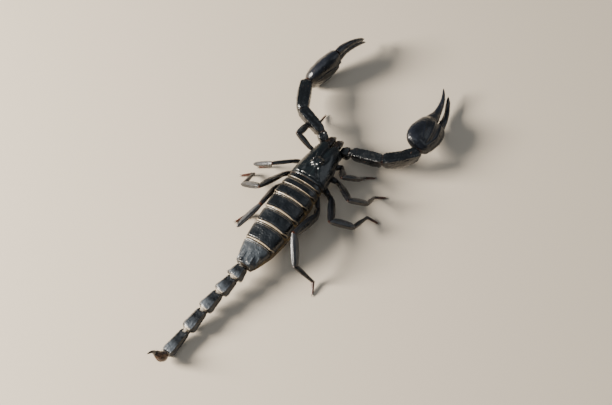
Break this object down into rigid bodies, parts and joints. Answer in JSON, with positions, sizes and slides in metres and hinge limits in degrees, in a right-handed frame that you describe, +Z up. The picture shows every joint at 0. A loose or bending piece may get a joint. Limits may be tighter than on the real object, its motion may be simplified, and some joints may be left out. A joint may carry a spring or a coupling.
{
  "type": "scorpion",
  "caption": "Still life-size forest scorpion standing on its legs, pincers held forward, tail stretched out behind and sting raised.",
  "frame": {"origin": "centre of the bounding box at floor level, which is z = 0", "axes": "+Z up; the body lies along Y, with the head towards -Y and the tail towards +Y; the animal's left side is +X"},
  "size_m": [0.0594, 0.1604, 0.0145],
  "materials": {
    "black_cuticle": "glossy blue-black shell",
    "leg_cuticle": "glossy black shell, red-brown at the feet",
    "telson_cuticle": "glossy red-brown shell",
    "sting_cuticle": "glossy near-black",
    "jaw_cuticle": "semi-gloss amber brown",
    "membrane": "soft matte skin between the plates",
    "eye_lens": "polished black",
    "pectine": "satin tan"
  },
  "bodies": {
    "root": {"carapace": "black_cuticle", "eye_median_left": "eye_lens", "eye_median_right": "eye_lens", "tergite_1": "black_cuticle", "tergite_2": "black_cuticle", "tergite_3": "black_cuticle", "tergite_4": "black_cuticle", "tergite_5": "black_cuticle", "tergite_6": "black_cuticle", "tergite_7": "black_cuticle", "mesosoma": "membrane", "prosoma": "black_cuticle", "chelicera_left": "jaw_cuticle", "chelicera_right": "jaw_cuticle", "pectine_left": "pectine", "pectine_right": "pectine", "leg_left_1_femur": "leg_cuticle", "leg_left_1_patella": "leg_cuticle", "leg_left_1_tibia": "leg_cuticle", "leg_left_2_femur": "leg_cuticle", "leg_left_2_patella": "leg_cuticle", "leg_left_2_tibia": "leg_cuticle", "leg_left_3_femur": "leg_cuticle", "leg_left_3_patella": "leg_cuticle", "leg_left_3_tibia": "leg_cuticle", "leg_left_4_femur": "leg_cuticle", "leg_left_4_patella": "leg_cuticle", "leg_left_4_tibia": "leg_cuticle", "leg_right_1_femur": "leg_cuticle", "leg_right_1_patella": "leg_cuticle", "leg_right_1_tibia": "leg_cuticle", "leg_right_2_femur": "leg_cuticle", "leg_right_2_patella": "leg_cuticle", "leg_right_2_tibia": "leg_cuticle", "leg_right_3_femur": "leg_cuticle", "leg_right_3_patella": "leg_cuticle", "leg_right_3_tibia": "leg_cuticle", "leg_right_4_femur": "leg_cuticle", "leg_right_4_patella": "leg_cuticle", "leg_right_4_tibia": "leg_cuticle", "palp_left_trochanter": "black_cuticle", "palp_left_femur": "black_cuticle", "palp_left_patella": "black_cuticle", "palp_left_hand": "black_cuticle", "palp_left_finger": "black_cuticle", "palp_right_trochanter": "black_cuticle", "palp_right_femur": "black_cuticle", "palp_right_patella": "black_cuticle", "palp_right_hand": "black_cuticle", "palp_right_finger": "black_cuticle", "metasoma_1": "black_cuticle", "metasoma_2": "black_cuticle", "metasoma_3": "black_cuticle", "metasoma_4": "black_cuticle", "metasoma_5": "black_cuticle", "telson_bulb": "telson_cuticle", "telson_sting": "sting_cuticle"}
  },
  "joints": []
}
